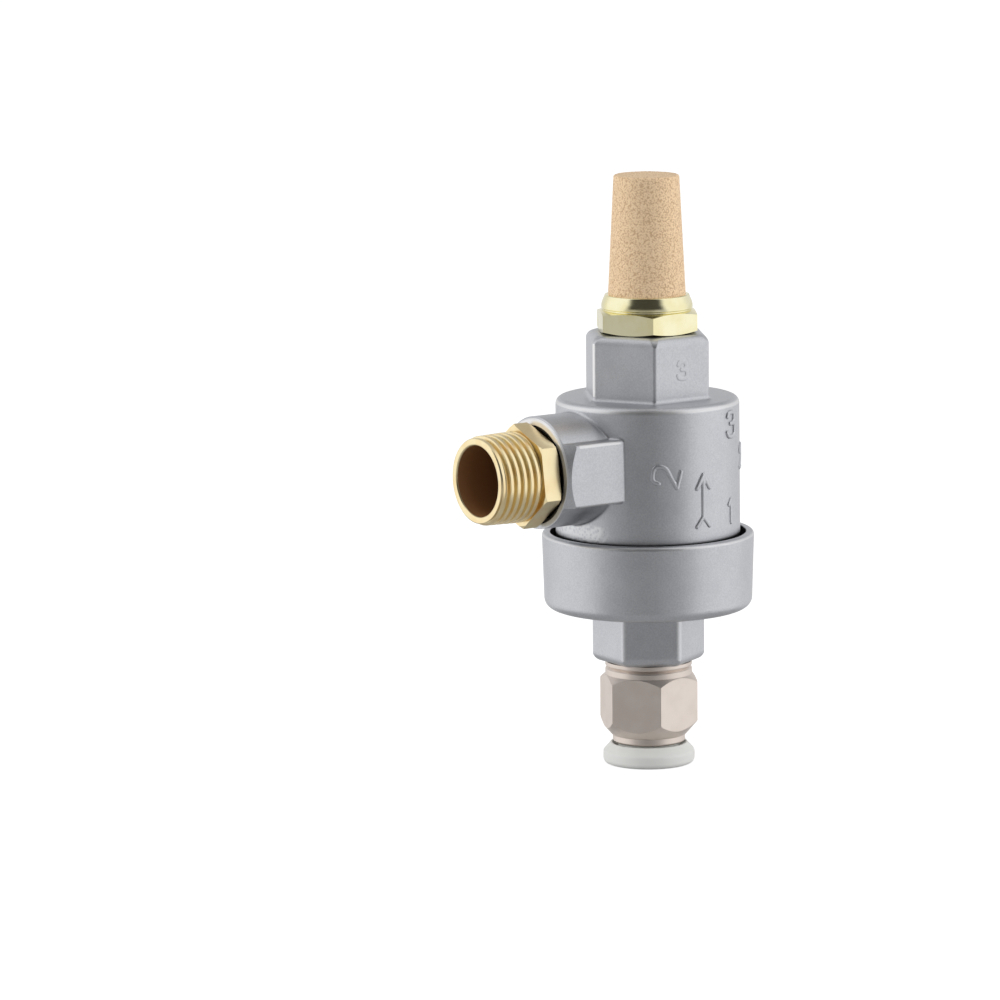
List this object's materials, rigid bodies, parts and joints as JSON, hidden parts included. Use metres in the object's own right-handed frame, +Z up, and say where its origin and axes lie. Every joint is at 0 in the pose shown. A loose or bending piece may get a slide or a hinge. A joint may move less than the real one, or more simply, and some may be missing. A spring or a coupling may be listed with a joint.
{
  "type": "quick exhaust valve",
  "caption": "Quick exhaust valve: cast body with screwed end cover and shuttle, sintered silencer on top, threaded side nipple, push-in tube fitting below.",
  "frame": {"origin": "on the valve's axis, at the foot of the release sleeve, where the tube goes in", "axes": "+Z up the valve's axis to the silencer, -X out of the side nipple, +Y completes the frame"},
  "size_m": [0.0732, 0.0494, 0.1381],
  "materials": {
    "cast_aluminium": "satin die casting under a thin silver coat with a fine speckle",
    "bright_brass": "turned and polished",
    "plated_brass": "pale bright plating",
    "sintered_bronze": "open sintered grain, unpolished",
    "nickel_plate": "satin nickel plating on brass",
    "nitrile_rubber": "matt black",
    "sleeve_plastic": "light grey, smooth moulded",
    "sealing_tape": "white tape",
    "spring_steel": "bright rolled strip",
    "turned_aluminium": "fine turned"
  },
  "bodies": {
    "housing": {"valve_body": "cast_aluminium", "end_cover": "cast_aluminium", "cover_o_ring": "nitrile_rubber", "silencer_base": "plated_brass", "silencer_element": "sintered_bronze", "silencer_thread_tape": "sealing_tape", "side_nipple": "bright_brass", "nipple_thread_tape": "sealing_tape", "fitting_body": "nickel_plate", "fitting_thread_seal": "nitrile_rubber", "fitting_tube_seal": "nitrile_rubber", "fitting_spacer": "bright_brass", "fitting_claws": "spring_steel", "fitting_guide_ring": "nickel_plate"},
    "shuttle": {"shuttle_core": "turned_aluminium", "supply_pad": "nitrile_rubber", "shuttle_lip_seal": "nitrile_rubber", "shuttle_washer": "spring_steel", "exhaust_pad": "nitrile_rubber", "shuttle_screw": "spring_steel"},
    "sleeve": {"release_sleeve": "sleeve_plastic"}
  },
  "joints": [
    {"name": "shuttle_lift", "type": "slide", "parent": "housing", "child": "shuttle", "axis": [0, 0, 1], "range_m": [0, 0.005]},
    {"name": "sleeve_press", "type": "slide", "parent": "housing", "child": "sleeve", "axis": [0, 0, 1], "range_m": [0, 0.0013], "stiffness_N_per_m": 400, "springref_m": -0.0005}
  ]
}
